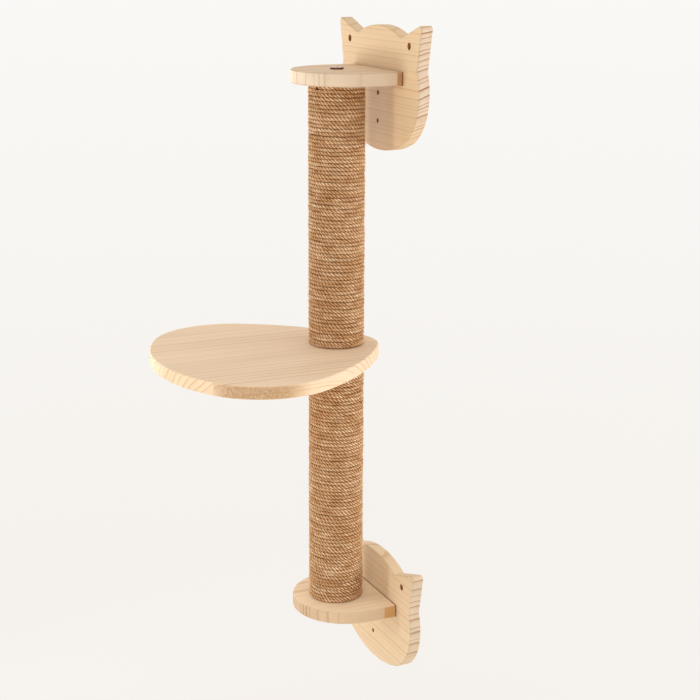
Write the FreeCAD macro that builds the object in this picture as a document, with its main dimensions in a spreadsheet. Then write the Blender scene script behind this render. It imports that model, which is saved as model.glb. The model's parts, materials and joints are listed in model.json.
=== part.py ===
import FreeCAD, Part
import math
import os
import Sketcher

# Cat wall platform: two cat-head wall plates, each with a shelf, hold a rope-wound post.
# The post comes in two sections, and a rounded board is clamped where they meet.
# The wall is the plane y = 0, the object stands out towards -Y, and Z is up.
# The origin is on the wall, midway between the two ear holes of the upper plate.

Vector = FreeCAD.Vector
Placement = FreeCAD.Placement
Rotation = FreeCAD.Rotation

# Driving dimensions in millimetres, and angles in degrees
DIMENSIONS = [
    ("plate_thickness", 18.0, "wall plate board"),
    ("plate_width", 270.0, "wall plate across the cheeks"),
    ("plate_drop", 161.0, "ear holes down to the foot of the plate"),
    ("cheek_radius", 84.0, "round of each cheek"),
    ("cheek_drop", 67.0, "ear holes down to the widest level"),
    ("waist_drop", 35.0, "ear holes down to the notch under the ear"),
    ("ear_tip_out", 143.0, "middle of the plate to an ear tip"),
    ("ear_tip_rise", 33.5, "ear holes up to an ear tip"),
    ("ear_root_out", 75.0, "middle of the plate to the inner root of an ear"),
    ("ear_root_rise", 10.5, "ear holes up to the inner root of an ear"),
    ("crown_radius", 195.0, "top of the head between the ears"),
    ("ear_tip_round", 6.0, "rounding of the ear tips"),
    ("ear_root_round", 6.0, "rounding at the inner root of the ears"),
    ("waist_round", 9.0, "rounding of the notch under the ears"),
    ("edge_chamfer", 1.5, "eased edges of all boards"),
    ("ear_hole_spacing", 205.0, "between the two ear holes"),
    ("ear_hole_diameter", 10.0, "wall screw holes in the ears"),
    ("centre_hole_drop", 75.0, "ear holes down to the upper centre hole"),
    ("centre_hole_spacing", 42.0, "between the two centre holes"),
    ("centre_hole_diameter", 6.5, "wall screw holes on the centre line"),
    ("shelf_drop", 38.0, "ear holes down to the top of the shelf"),
    ("shelf_thickness", 20.0, "shelf board"),
    ("shelf_width", 170.0, "shelf across its straight sides"),
    ("shelf_front", 68.0, "post axis to the front of the shelf"),
    ("post_standoff", 68.0, "plate face to the post axis"),
    ("bolt_hole_diameter", 9.0, "bolt hole in the shelves"),
    ("screw_spread", 60.0, "between the two shelf screws"),
    ("screw_diameter", 4.0, "shelf screw shank"),
    ("screw_length", 48.0, "shelf screw under the head"),
    ("screw_head_diameter", 8.5, "shelf screw head"),
    ("screw_head_height", 4.0, "shelf screw head"),
    ("counterbore_diameter", 10.0, "recess for a screw head"),
    ("counterbore_depth", 5.0, "recess for a screw head"),
    ("drill_clearance", 0.2, "hole over the diameter of what it takes"),
    ("post_length", 400.0, "each post section"),
    ("core_diameter", 75.0, "wooden core of a post section"),
    ("insert_diameter", 12.0, "threaded insert outside"),
    ("insert_length", 20.0, "threaded insert"),
    ("thread_diameter", 8.0, "bolts and stud"),
    ("bolt_head_diameter", 20.0, "flat round bolt head"),
    ("bolt_head_height", 3.0, "flat round bolt head"),
    ("bolt_length", 38.0, "bolt under the head"),
    ("stud_length", 56.0, "stud between the post sections"),
    ("platform_thickness", 20.0, "platform board"),
    ("platform_width", 381.0, "platform across its widest"),
    ("platform_reach", 290.0, "post axis to the front of the platform"),
    ("platform_nose_radius", 66.0, "platform round the post"),
    ("platform_side_radius", 390.0, "flat curve of the platform sides"),
    ("platform_corner_radius", 119.0, "round of the platform corners"),
    ("platform_front_radius", 255.0, "flat curve of the platform front"),
    ("platform_bore_clearance", 0.2, "platform bore over the stud diameter"),
    ("rope_width", 5.0, "rope across, between neighbouring turns"),
    ("rope_pitch", 5.7, "rise of a turn of rope"),
    ("rope_turns", 1.25, "turns drawn at each post end"),
    ("rope_clearance", 0.2, "rope off the core"),
    ("rope_end_margin", 0.5, "rope off the post end"),
    ("rope_start_angle", -65.0, "first turn of rope, round the post from +X"),
]

doc = FreeCAD.newDocument("cat_wall_platform")
sheet = doc.addObject("Spreadsheet::Sheet", "Dimensions")
for row, (alias, number, meaning) in enumerate(DIMENSIONS, start=1):
    sheet.set(f"A{row}", meaning)
    sheet.set(f"B{row}", str(number))
    sheet.setAlias(f"B{row}", alias)
doc.recompute()

size = {alias: float(sheet.get(alias)) for alias, number, meaning in DIMENSIONS}

# Levels and places that several sub-parts share, as sheet expressions
POST_Y = "-(Dimensions.plate_thickness + Dimensions.post_standoff)"
UPPER_SHELF_FOOT = "-(Dimensions.shelf_drop + Dimensions.shelf_thickness)"
PLATFORM_FOOT = (
    f"{UPPER_SHELF_FOOT} - Dimensions.post_length - Dimensions.platform_thickness"
)
LOWER_POST_FOOT = f"{PLATFORM_FOOT} - Dimensions.post_length"
LOWER_SHELF_FOOT = f"{LOWER_POST_FOOT} - Dimensions.shelf_thickness"
LOWER_PLATE_LEVEL = (
    "-(Dimensions.shelf_thickness + 2 * Dimensions.post_length + Dimensions.platform_thickness)"
)

# The same levels as numbers, for the wound rope
post_y = -(size["plate_thickness"] + size["post_standoff"])
upper_post_head = -(size["shelf_drop"] + size["shelf_thickness"])
upper_post_foot = upper_post_head - size["post_length"]
lower_post_head = upper_post_foot - size["platform_thickness"]
lower_post_foot = lower_post_head - size["post_length"]

ORIGIN = (-1, 1)
VERTICAL_AXIS = -2
START, END, CENTRE = 1, 2, 3

nodes = []


# Helpers for bodies and sketches
def new_body(label, x="0", y="0", z="0", turn=None):
    body = doc.addObject("PartDesign::Body", label)
    body.Label = label
    if turn is not None:
        body.Placement = Placement(Vector(0, 0, 0), turn)
    body.setExpression("Placement.Base.x", x)
    body.setExpression("Placement.Base.y", y)
    body.setExpression("Placement.Base.z", z)
    nodes.append(body)
    return body


def new_sketch(body, plane, offset=None):
    sketch = body.newObject("Sketcher::SketchObject", "Sketch")
    support = [item for item in body.Origin.OriginFeatures if item.Role == plane][0]
    sketch.AttachmentSupport = (support, [""])
    sketch.MapMode = "FlatFace"
    if offset is not None:
        sketch.setExpression("AttachmentOffset.Base.z", offset)
    return sketch


def bind(sketch, expression, *constraint):
    index = sketch.addConstraint(Sketcher.Constraint(*constraint))
    sketch.setExpression(f"Constraints[{index}]", expression)


def pin(sketch, geometry, position, x=None, y=None):
    point = sketch.getPoint(geometry, position)
    if x is not None:
        bind(sketch, x, "DistanceX", *ORIGIN, geometry, position, point.x)
    if y is not None:
        bind(sketch, y, "DistanceY", *ORIGIN, geometry, position, point.y)


def radius(sketch, geometry, expression):
    bind(sketch, expression, "Radius", geometry, sketch.Geometry[geometry].Radius)


def tangent(sketch, first, first_end, second, second_end):
    sketch.addConstraint(Sketcher.Constraint("Tangent", first, first_end, second, second_end))


def join(sketch, first, first_end, second, second_end):
    sketch.addConstraint(Sketcher.Constraint("Coincident", first, first_end, second, second_end))


def add_line(sketch, start, end):
    return sketch.addGeometry(Part.LineSegment(Vector(*start, 0), Vector(*end, 0)))


def add_arc(sketch, centre, start, end):
    start_angle = math.atan2(start[1] - centre[1], start[0] - centre[0])
    end_angle = math.atan2(end[1] - centre[1], end[0] - centre[0])
    if end_angle < start_angle:
        end_angle += 2 * math.pi
    reach = math.hypot(start[0] - centre[0], start[1] - centre[1])
    circle = Part.Circle(Vector(*centre, 0), Vector(0, 0, 1), reach)
    return sketch.addGeometry(Part.ArcOfCircle(circle, start_angle, end_angle))


def add_circle(sketch, diameter, x="0", y="0"):
    circle = sketch.addGeometry(Part.Circle(Vector(1, 1, 0), Vector(0, 0, 1), 1))
    pin(sketch, circle, CENTRE, x, y)
    bind(sketch, f"({diameter}) / 2", "Radius", circle, 1)


def pad(body, sketch, length, reverse=False):
    feature = body.newObject("PartDesign::Pad", "Pad")
    feature.Profile = sketch
    feature.setExpression("Length", length)
    feature.Reversed = reverse
    return feature


def pocket(body, sketch, depth=None, reverse=False):
    feature = body.newObject("PartDesign::Pocket", "Pocket")
    feature.Profile = sketch
    if depth is None:
        feature.Type = "ThroughAll"
    else:
        feature.setExpression("Length", depth)
    feature.Reversed = reverse
    return feature


def dress(body, kind, base, edges, alias):
    feature = body.newObject(f"PartDesign::{kind}", kind)
    feature.Base = (base, edges)
    feature.setExpression("Size" if kind == "Chamfer" else "Radius", f"Dimensions.{alias}")
    return feature


def edge_names(feature, test):
    doc.recompute()
    chosen = []
    for number, edge in enumerate(feature.Shape.Edges, start=1):
        middle = edge.valueAt((edge.FirstParameter + edge.LastParameter) / 2)
        if test(edge, middle):
            chosen.append(f"Edge{number}")
    return chosen


SAME_PLACE = 0.01


def near(a, b):
    return abs(a - b) < SAME_PLACE


def edges_in_plane(feature, axis, levels):
    def lies_in_plane(edge, middle):
        ends = [getattr(vertex.Point, axis) for vertex in edge.Vertexes]
        values = ends + [getattr(middle, axis)]
        return any(all(near(value, level) for value in values) for level in levels)

    return edge_names(feature, lies_in_plane)


# Wall plates with the outline of a cat's head
def head_outline(sketch):
    half = size["plate_width"] / 2
    cheek_r = size["cheek_radius"]
    cheek = (half - cheek_r, -size["cheek_drop"])
    belly = size["plate_drop"] - size["cheek_drop"]
    chin_r = (cheek[0] ** 2 + belly**2 - cheek_r**2) / (2 * (belly - cheek_r))
    chin = (0.0, chin_r - size["plate_drop"])
    stretch = chin_r / (chin_r - cheek_r)
    jaw = (stretch * cheek[0], chin[1] + stretch * (cheek[1] - chin[1]))
    waist_z = -size["waist_drop"]
    waist = (cheek[0] + math.sqrt(cheek_r**2 - (waist_z - cheek[1]) ** 2), waist_z)
    tip = (size["ear_tip_out"], size["ear_tip_rise"])
    root = (size["ear_root_out"], size["ear_root_rise"])
    crown = (0.0, root[1] - math.sqrt(size["crown_radius"] ** 2 - root[0] ** 2))

    def left(point):
        return (-point[0], point[1])

    inner_right = add_line(sketch, root, tip)
    outer_right = add_line(sketch, tip, waist)
    cheek_right = add_arc(sketch, cheek, jaw, waist)
    chin_arc = add_arc(sketch, chin, left(jaw), jaw)
    cheek_left = add_arc(sketch, left(cheek), left(waist), left(jaw))
    outer_left = add_line(sketch, left(waist), left(tip))
    inner_left = add_line(sketch, left(tip), left(root))
    crown_arc = add_arc(sketch, crown, root, left(root))

    join(sketch, inner_right, END, outer_right, START)
    join(sketch, outer_right, END, cheek_right, END)
    tangent(sketch, cheek_right, START, chin_arc, END)
    tangent(sketch, chin_arc, START, cheek_left, END)
    join(sketch, cheek_left, START, outer_left, START)
    join(sketch, outer_left, END, inner_left, START)
    join(sketch, inner_left, END, crown_arc, END)
    join(sketch, crown_arc, START, inner_right, START)
    for first, first_end, second, second_end in (
        (inner_right, START, inner_left, END),
        (inner_right, END, inner_left, START),
        (cheek_right, CENTRE, cheek_left, CENTRE),
    ):
        sketch.addConstraint(
            Sketcher.Constraint("Symmetric", first, first_end, second, second_end, VERTICAL_AXIS)
        )
    sketch.addConstraint(Sketcher.Constraint("Equal", cheek_right, cheek_left))
    sketch.addConstraint(Sketcher.Constraint("Horizontal", outer_right, END, outer_left, START))

    pin(sketch, inner_right, START, "Dimensions.ear_root_out", "Dimensions.ear_root_rise")
    pin(sketch, inner_right, END, "Dimensions.ear_tip_out", "Dimensions.ear_tip_rise")
    pin(sketch, outer_right, END, y="-Dimensions.waist_drop")
    cheek_x = "Dimensions.plate_width / 2 - Dimensions.cheek_radius"
    pin(sketch, cheek_right, CENTRE, cheek_x, "-Dimensions.cheek_drop")
    radius(sketch, cheek_right, "Dimensions.cheek_radius")
    radius(sketch, crown_arc, "Dimensions.crown_radius")
    depth = "(Dimensions.plate_drop - Dimensions.cheek_drop)"
    radius(
        sketch,
        chin_arc,
        f"(({cheek_x}) ^ 2 + {depth} ^ 2 - Dimensions.cheek_radius ^ 2)"
        f" / (2 * ({depth} - Dimensions.cheek_radius))",
    )
    return {"ear_tip_round": tip, "ear_root_round": root, "waist_round": waist}


def wall_plate(label, level):
    body = new_body(label, z=level)
    sketch = new_sketch(body, "XZ_Plane")
    corners = head_outline(sketch)
    solid = pad(body, sketch, "Dimensions.plate_thickness")
    for alias, corner in corners.items():

        def is_corner_edge(edge, middle):
            same_place = near(abs(middle.x), corner[0]) and near(middle.z, corner[1])
            return same_place and near(edge.Length, size["plate_thickness"])

        solid = dress(body, "Fillet", solid, edge_names(solid, is_corner_edge), alias)
    rims = edges_in_plane(solid, "y", (-size["plate_thickness"],))
    solid = dress(body, "Chamfer", solid, rims, "edge_chamfer")

    holes = new_sketch(body, "XZ_Plane")
    for side in ("", "-"):
        add_circle(
            holes, "Dimensions.ear_hole_diameter", f"{side}Dimensions.ear_hole_spacing / 2"
        )
    for step in (0, 1):
        centre_z = f"-(Dimensions.centre_hole_drop + {step} * Dimensions.centre_hole_spacing)"
        add_circle(holes, "Dimensions.centre_hole_diameter", y=centre_z)
    pocket(body, holes, reverse=True)

    shelf_middle = "-(Dimensions.shelf_drop + Dimensions.shelf_thickness / 2)"
    shanks = new_sketch(body, "XZ_Plane")
    for side in ("", "-"):
        shank = "Dimensions.screw_diameter + Dimensions.drill_clearance"
        add_circle(shanks, shank, f"{side}Dimensions.screw_spread / 2", shelf_middle)
    pocket(body, shanks, reverse=True)
    recesses = new_sketch(body, "XZ_Plane")
    for side in ("", "-"):
        recess_x = f"{side}Dimensions.screw_spread / 2"
        add_circle(recesses, "Dimensions.counterbore_diameter", recess_x, shelf_middle)
    pocket(body, recesses, "Dimensions.counterbore_depth", reverse=True)


# Shelves: straight back and sides, and a half-round front
def shelf(label, foot):
    body = new_body(label, y=POST_Y, z=foot)
    half = size["shelf_width"] / 2
    bend_y = half - size["shelf_front"]
    back_y = size["post_standoff"]
    sketch = new_sketch(body, "XY_Plane")
    front = add_arc(sketch, (0, bend_y), (-half, bend_y), (half, bend_y))
    right = add_line(sketch, (half, bend_y), (half, back_y))
    back = add_line(sketch, (half, back_y), (-half, back_y))
    left = add_line(sketch, (-half, back_y), (-half, bend_y))
    tangent(sketch, front, END, right, START)
    join(sketch, right, END, back, START)
    join(sketch, back, END, left, START)
    tangent(sketch, left, END, front, START)
    sketch.addConstraint(Sketcher.Constraint("Horizontal", back))
    sketch.addConstraint(Sketcher.Constraint("Vertical", right))
    sketch.addConstraint(Sketcher.Constraint("Vertical", left))
    pin(sketch, front, CENTRE, "0", "Dimensions.shelf_width / 2 - Dimensions.shelf_front")
    radius(sketch, front, "Dimensions.shelf_width / 2")
    pin(sketch, back, START, y="Dimensions.post_standoff")
    solid = pad(body, sketch, "Dimensions.shelf_thickness")

    def is_free_rim(edge, middle):
        flat = near(edge.BoundBox.ZLength, 0.0)
        return flat and not near(middle.y, size["post_standoff"])

    dress(body, "Chamfer", solid, edge_names(solid, is_free_rim), "edge_chamfer")

    bolt_hole = new_sketch(body, "XY_Plane")
    add_circle(bolt_hole, "Dimensions.bolt_hole_diameter")
    pocket(body, bolt_hole, reverse=True)

    middle = "Dimensions.shelf_thickness / 2"
    pilots = new_sketch(body, "XZ_Plane", "-Dimensions.post_standoff")
    for side in ("", "-"):
        pilot = "Dimensions.screw_diameter + Dimensions.drill_clearance"
        add_circle(pilots, pilot, f"{side}Dimensions.screw_spread / 2", middle)
    screw_reach = (
        "Dimensions.screw_length + Dimensions.counterbore_depth - Dimensions.plate_thickness"
    )
    pocket(body, pilots, screw_reach, reverse=True)


# Screws that fix a shelf to its plate, from behind
def shelf_screw(label, x, z):
    body = new_body(label, x=x, y="-Dimensions.counterbore_depth", z=z)
    head = new_sketch(body, "XZ_Plane")
    add_circle(head, "Dimensions.screw_head_diameter")
    pad(body, head, "Dimensions.screw_head_height", reverse=True)
    shank = new_sketch(body, "XZ_Plane")
    add_circle(shank, "Dimensions.screw_diameter")
    pad(body, shank, "Dimensions.screw_length")


# Post sections: wooden core, threaded inserts and the wound rope
def post_core(label, foot):
    body = new_body(label, y=POST_Y, z=foot)
    sketch = new_sketch(body, "XY_Plane")
    add_circle(sketch, "Dimensions.core_diameter")
    pad(body, sketch, "Dimensions.post_length")
    for level, at_foot in (("0", True), ("Dimensions.post_length", False)):
        seat = new_sketch(body, "XY_Plane", level)
        add_circle(seat, "Dimensions.insert_diameter + Dimensions.drill_clearance")
        pocket(body, seat, "Dimensions.insert_length", reverse=at_foot)


def threaded_insert(label, foot):
    body = new_body(label, y=POST_Y, z=foot)
    sketch = new_sketch(body, "XY_Plane")
    add_circle(sketch, "Dimensions.insert_diameter")
    add_circle(sketch, "Dimensions.thread_diameter + Dimensions.drill_clearance")
    pad(body, sketch, "Dimensions.insert_length")


ROPE_CORNERS = 6
STEPS_PER_TURN = 4
rope_corner_reach = size["rope_width"] / (2 * math.cos(math.pi / ROPE_CORNERS))
rope_path_radius = size["core_diameter"] / 2 + size["rope_clearance"] + rope_corner_reach
rope_gap = size["rope_pitch"] - size["rope_width"]
rope_start_drop = size["rope_end_margin"] + size["rope_width"] / 2
rope_rise = size["rope_turns"] * size["rope_pitch"]


def winding_point(angle, turned, start_level):
    drop = size["rope_pitch"] * turned / (2 * math.pi)
    across = rope_path_radius * math.cos(angle)
    along = rope_path_radius * math.sin(angle)
    return Vector(across, post_y + along, start_level - drop)


def winding_way(angle):
    drop = size["rope_pitch"] / (2 * math.pi)
    across = -rope_path_radius * math.sin(angle)
    along = rope_path_radius * math.cos(angle)
    return Vector(across, along, -drop).normalize()


def arc_edge(start, corner, end):
    middle = (start + end) * 0.5
    half_chord = (start - middle).Length
    rise = (corner - middle).Length
    bulge = half_chord * math.tan(math.atan2(rise, half_chord) / 2)
    top = middle + (corner - middle).normalize() * bulge
    return Part.Arc(start, top, end).toShape()


def biarc_edges(start, start_way, end, end_way):
    chord = end - start
    spread = 2 * (1 - start_way.dot(end_way))
    along = chord.dot(start_way + end_way)
    reach = (math.sqrt(along**2 + spread * chord.dot(chord)) - along) / spread
    first_corner = start + start_way * reach
    second_corner = end - end_way * reach
    meeting = (first_corner + second_corner) * 0.5
    return [arc_edge(start, first_corner, meeting), arc_edge(meeting, second_corner, end)]


def least_gap(path):
    samples_per_turn = 240
    turn_length = math.hypot(2 * math.pi * rope_path_radius, size["rope_pitch"])
    count = int(path.Length / turn_length * samples_per_turn)
    points = path.discretize(count)
    apart = samples_per_turn // 2
    distances = [
        points[i].distanceToPoint(points[j])
        for i in range(count)
        for j in range(i + apart, count)
    ]
    return min(distances) - size["rope_width"]


def wound_tube(start_level, start_angle):
    step_angle = 2 * math.pi / STEPS_PER_TURN
    steps = range(int(round(size["rope_turns"] * STEPS_PER_TURN)) + 1)
    angles = [start_angle + step_angle * step for step in steps]
    points = [winding_point(a, a - start_angle, start_level) for a in angles]
    ways = [winding_way(a) for a in angles]
    first = points[0] - ways[0] * size["rope_width"]
    last = points[-1] + ways[-1] * size["rope_width"]
    edges = [Part.LineSegment(first, points[0]).toShape()]
    for step in steps[:-1]:
        edges += biarc_edges(points[step], ways[step], points[step + 1], ways[step + 1])
    edges.append(Part.LineSegment(points[-1], last).toShape())
    path = Part.Wire(edges)

    outward = Vector(math.cos(start_angle), math.sin(start_angle), 0)
    upward = outward.cross(ways[0])
    corners = []
    for number in range(ROPE_CORNERS):
        turn = 2 * math.pi * number / ROPE_CORNERS
        side = outward * math.cos(turn) + upward * math.sin(turn)
        corners.append(first + side * rope_corner_reach)
    section = Part.makePolygon(corners + corners[:1])
    print(f"least gap between turns {least_gap(path):.2f} mm")
    return path.makePipeShell([section], True, False), (first, last)


def ring(low, high):
    inside = (size["core_diameter"] + size["drill_clearance"]) / 2
    outside = size["core_diameter"] / 2 + 2 * rope_corner_reach
    base = Vector(0, post_y, low)
    outer = Part.makeCylinder(outside, high - low, base)
    return outer.cut(Part.makeCylinder(inside, high - low, base))


def ring_step(low, high, face_point, angle, forward):
    length = 2 * size["rope_width"]
    way = winding_way(angle)
    outward = Vector(math.cos(angle), math.sin(angle), 0)
    corner = Vector(0 if forward else -length, -length, -length)
    block = Part.makeBox(length, 2 * length, 2 * length, corner)
    block.Placement = Placement(face_point, Rotation(way, outward, way.cross(outward), "XYZ"))
    return ring(low, high).common(block)


# The turns at both ends of a section are drawn, and a plain sleeve of the same
# thickness stands for the turns between: the rope runs out of a step in its end.
def rope_winding(label, head_level, foot_level):
    half_width = size["rope_width"] / 2
    start_angle = math.radians(size["rope_start_angle"])
    top_turns, top_ends = wound_tube(head_level - rope_start_drop, start_angle)
    bottom_start = foot_level + rope_start_drop + rope_rise
    bottom_turns, bottom_ends = wound_tube(bottom_start, start_angle)
    top_joint = top_ends[1]
    bottom_joint = bottom_ends[0]
    sleeve_head = top_joint.z - half_width - rope_gap
    sleeve_foot = bottom_joint.z + half_width + rope_gap
    top_angle = start_angle + 2 * math.pi * size["rope_turns"]
    top_step = ring_step(sleeve_head, top_joint.z + half_width, top_joint, top_angle, True)
    bottom_step = ring_step(
        bottom_joint.z - half_width, sleeve_foot, bottom_joint, start_angle, False
    )
    sleeve = ring(sleeve_foot, sleeve_head)
    shape = sleeve.fuse([top_step, bottom_step, top_turns, bottom_turns])
    rope = doc.addObject("Part::Feature", label)
    rope.Label = label
    rope.Shape = shape.Solids[0] if len(shape.Solids) == 1 else shape
    nodes.append(rope)


# Platform board: a rounded triangle with its narrow end round the post
def platform_board(label, foot):
    nose_r = size["platform_nose_radius"]
    side_r = size["platform_side_radius"]
    corner_r = size["platform_corner_radius"]
    front_r = size["platform_front_radius"]
    front = (0.0, front_r - size["platform_reach"])
    corner_x = size["platform_width"] / 2 - corner_r
    corner = (corner_x, front[1] - math.sqrt((front_r - corner_r) ** 2 - corner_x**2))

    nose_to_side = side_r - nose_r
    corner_to_side = side_r - corner_r
    gap = math.hypot(*corner)
    along = (nose_to_side**2 - corner_to_side**2 + gap**2) / (2 * gap)
    across = math.sqrt(nose_to_side**2 - along**2)
    way = (corner[0] / gap, corner[1] / gap)
    side = (way[0] * along + way[1] * across, way[1] * along - way[0] * across)

    def touch(outer, outer_r, inner):
        reach = outer_r / math.hypot(inner[0] - outer[0], inner[1] - outer[1])
        return (outer[0] + (inner[0] - outer[0]) * reach, outer[1] + (inner[1] - outer[1]) * reach)

    def left(point):
        return (-point[0], point[1])

    shoulder = touch(side, side_r, (0.0, 0.0))
    hip = touch(side, side_r, corner)
    toe = touch(front, front_r, corner)

    body = new_body(label, y=POST_Y, z=foot)
    sketch = new_sketch(body, "XY_Plane")
    outline = [
        add_arc(sketch, (0, 0), shoulder, left(shoulder)),
        add_arc(sketch, left(side), left(shoulder), left(hip)),
        add_arc(sketch, left(corner), left(hip), left(toe)),
        add_arc(sketch, front, left(toe), toe),
        add_arc(sketch, corner, toe, hip),
        add_arc(sketch, side, hip, shoulder),
    ]
    nose_arc, left_side, left_corner, front_arc, right_corner, right_side = outline
    for number, arc in enumerate(outline):
        tangent(sketch, arc, END, outline[(number + 1) % len(outline)], START)
    pin(sketch, nose_arc, CENTRE, "0", "0")
    radius(sketch, nose_arc, "Dimensions.platform_nose_radius")
    front_y = "Dimensions.platform_front_radius - Dimensions.platform_reach"
    pin(sketch, front_arc, CENTRE, "0", front_y)
    radius(sketch, front_arc, "Dimensions.platform_front_radius")
    centre_x = "(Dimensions.platform_width / 2 - Dimensions.platform_corner_radius)"
    pin(sketch, right_corner, CENTRE, centre_x)
    pin(sketch, left_corner, CENTRE, f"-{centre_x}")
    radius(sketch, right_corner, "Dimensions.platform_corner_radius")
    sketch.addConstraint(Sketcher.Constraint("Equal", right_corner, left_corner))
    radius(sketch, right_side, "Dimensions.platform_side_radius")
    sketch.addConstraint(Sketcher.Constraint("Equal", right_side, left_side))
    solid = pad(body, sketch, "Dimensions.platform_thickness")
    rims = edges_in_plane(solid, "z", (0.0, size["platform_thickness"]))
    dress(body, "Chamfer", solid, rims, "edge_chamfer")
    bore = new_sketch(body, "XY_Plane")
    add_circle(bore, "Dimensions.thread_diameter + Dimensions.platform_bore_clearance")
    pocket(body, bore, reverse=True)


# Bolts through the shelves and the stud through the platform
def shelf_bolt(label, seat, turn=None):
    body = new_body(label, y=POST_Y, z=seat, turn=turn)
    head = new_sketch(body, "XY_Plane")
    add_circle(head, "Dimensions.bolt_head_diameter")
    pad(body, head, "Dimensions.bolt_head_height")
    shank = new_sketch(body, "XY_Plane")
    add_circle(shank, "Dimensions.thread_diameter")
    pad(body, shank, "Dimensions.bolt_length", reverse=True)


def platform_stud(label):
    foot = f"{PLATFORM_FOOT} + (Dimensions.platform_thickness - Dimensions.stud_length) / 2"
    body = new_body(label, y=POST_Y, z=foot)
    sketch = new_sketch(body, "XY_Plane")
    add_circle(sketch, "Dimensions.thread_diameter")
    pad(body, sketch, "Dimensions.stud_length")


# Assembly: wall brackets
UPPER_POST_FOOT = f"{UPPER_SHELF_FOOT} - Dimensions.post_length"
BRACKETS = (("upper", "0", UPPER_SHELF_FOOT), ("lower", LOWER_PLATE_LEVEL, LOWER_SHELF_FOOT))
for name, plate_level, shelf_foot in BRACKETS:
    wall_plate(f"{name}_wall_plate", plate_level)
    shelf(f"{name}_shelf", shelf_foot)
    shelf_middle_level = f"{shelf_foot} + Dimensions.shelf_thickness / 2"
    for side_name, sign in (("left", "-"), ("right", "")):
        screw_place = f"{sign}Dimensions.screw_spread / 2"
        shelf_screw(f"{name}_shelf_screw_{side_name}", screw_place, shelf_middle_level)

# Assembly: post sections
SECTIONS = (
    ("upper", UPPER_POST_FOOT, upper_post_head, upper_post_foot),
    ("lower", LOWER_POST_FOOT, lower_post_head, lower_post_foot),
)
for name, foot, head_level, foot_level in SECTIONS:
    post_core(f"{name}_post_core", foot)
    threaded_insert(
        f"{name}_post_top_insert",
        f"{foot} + Dimensions.post_length - Dimensions.insert_length",
    )
    threaded_insert(f"{name}_post_bottom_insert", foot)
    rope_winding(f"{name}_rope_winding", head_level, foot_level)

# Assembly: platform and bolts
platform_board("platform_board", PLATFORM_FOOT)
platform_stud("platform_stud")
shelf_bolt("top_bolt", "-Dimensions.shelf_drop")
shelf_bolt("bottom_bolt", LOWER_SHELF_FOOT, Rotation(Vector(1, 0, 0), 180))

doc.recompute()

# Checks and export
for item in doc.Objects:
    if "Invalid" in item.State or "Error" in item.State:
        raise RuntimeError(f"{item.Label} did not build: {item.State}")
os.makedirs("parts", exist_ok=True)
for node in nodes:
    if node.Shape.isNull() or not node.Shape.isValid():
        raise RuntimeError(f"{node.Label} has no valid shape")
    if len(node.Shape.Solids) != 1:
        raise RuntimeError(f"{node.Label} is not one solid")
    node.Shape.exportStep(f"parts/{node.Label}.step")
    box = node.Shape.BoundBox
    low = f"{box.XMin:.1f} {box.YMin:.1f} {box.ZMin:.1f}"
    high = f"{box.XMax:.1f} {box.YMax:.1f} {box.ZMax:.1f}"
    print(f"{node.Label}: {low} to {high}, volume {node.Shape.Volume:.0f}")
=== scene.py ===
import json
import math
from functools import partial

import bpy
import numpy as np
from mathutils import Matrix, Vector


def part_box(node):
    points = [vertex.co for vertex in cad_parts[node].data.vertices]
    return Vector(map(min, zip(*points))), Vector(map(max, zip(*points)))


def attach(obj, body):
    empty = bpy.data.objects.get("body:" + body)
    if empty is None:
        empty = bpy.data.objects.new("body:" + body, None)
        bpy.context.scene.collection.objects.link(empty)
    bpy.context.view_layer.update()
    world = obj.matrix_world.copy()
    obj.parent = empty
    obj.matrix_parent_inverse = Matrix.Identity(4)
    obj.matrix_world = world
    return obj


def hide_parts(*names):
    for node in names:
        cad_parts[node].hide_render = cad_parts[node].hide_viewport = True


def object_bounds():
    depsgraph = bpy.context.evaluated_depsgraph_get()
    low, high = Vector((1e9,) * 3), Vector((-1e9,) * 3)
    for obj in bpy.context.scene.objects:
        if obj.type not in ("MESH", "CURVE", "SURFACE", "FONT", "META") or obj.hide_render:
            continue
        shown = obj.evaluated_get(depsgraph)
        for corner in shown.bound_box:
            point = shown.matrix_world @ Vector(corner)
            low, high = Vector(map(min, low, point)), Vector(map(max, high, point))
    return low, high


# Looks of the cat wall platform: pine boards with eased edges, wound rope, bolts and tacks.
# The wall is the plane y = 0, the object stands out towards -Y, and Z is up. Metres.

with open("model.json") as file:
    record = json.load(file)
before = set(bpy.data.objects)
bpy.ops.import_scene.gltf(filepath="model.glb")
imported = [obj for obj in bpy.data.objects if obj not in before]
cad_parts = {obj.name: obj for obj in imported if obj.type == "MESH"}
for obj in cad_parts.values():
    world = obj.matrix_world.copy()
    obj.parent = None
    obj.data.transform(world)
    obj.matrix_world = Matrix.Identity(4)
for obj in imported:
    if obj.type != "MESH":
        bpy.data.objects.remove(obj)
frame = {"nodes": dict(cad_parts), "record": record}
nodes = frame["nodes"]
cad_low, cad_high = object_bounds()

# Places taken from the frame
upper_core_low, upper_core_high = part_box("upper_post_core")
post_x = (upper_core_low.x + upper_core_high.x) / 2
post_y = (upper_core_low.y + upper_core_high.y) / 2
core_radius = (upper_core_high.x - upper_core_low.x) / 2

# Board edges
CORNER_ROUND = 0.0007
SAME_POINT = 1e-6
FLAT_ANGLE = math.radians(0.5)
SHARP_ANGLE = math.radians(30)
BOARD_SMOOTH_ANGLE = math.radians(40)
PLATE_FACE_NORMAL = 0.99

# Pine: colours and gloss
PINE_PALE = (0.80, 0.61, 0.425, 1)
PINE_DARK = (0.52, 0.28, 0.10, 1)
END_PALE = (0.74, 0.57, 0.42, 1)
END_DARK = (0.30, 0.13, 0.055, 1)
HEARTWOOD = (0.46, 0.275, 0.14, 1)
PINE_GLOSS = 0.15

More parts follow.
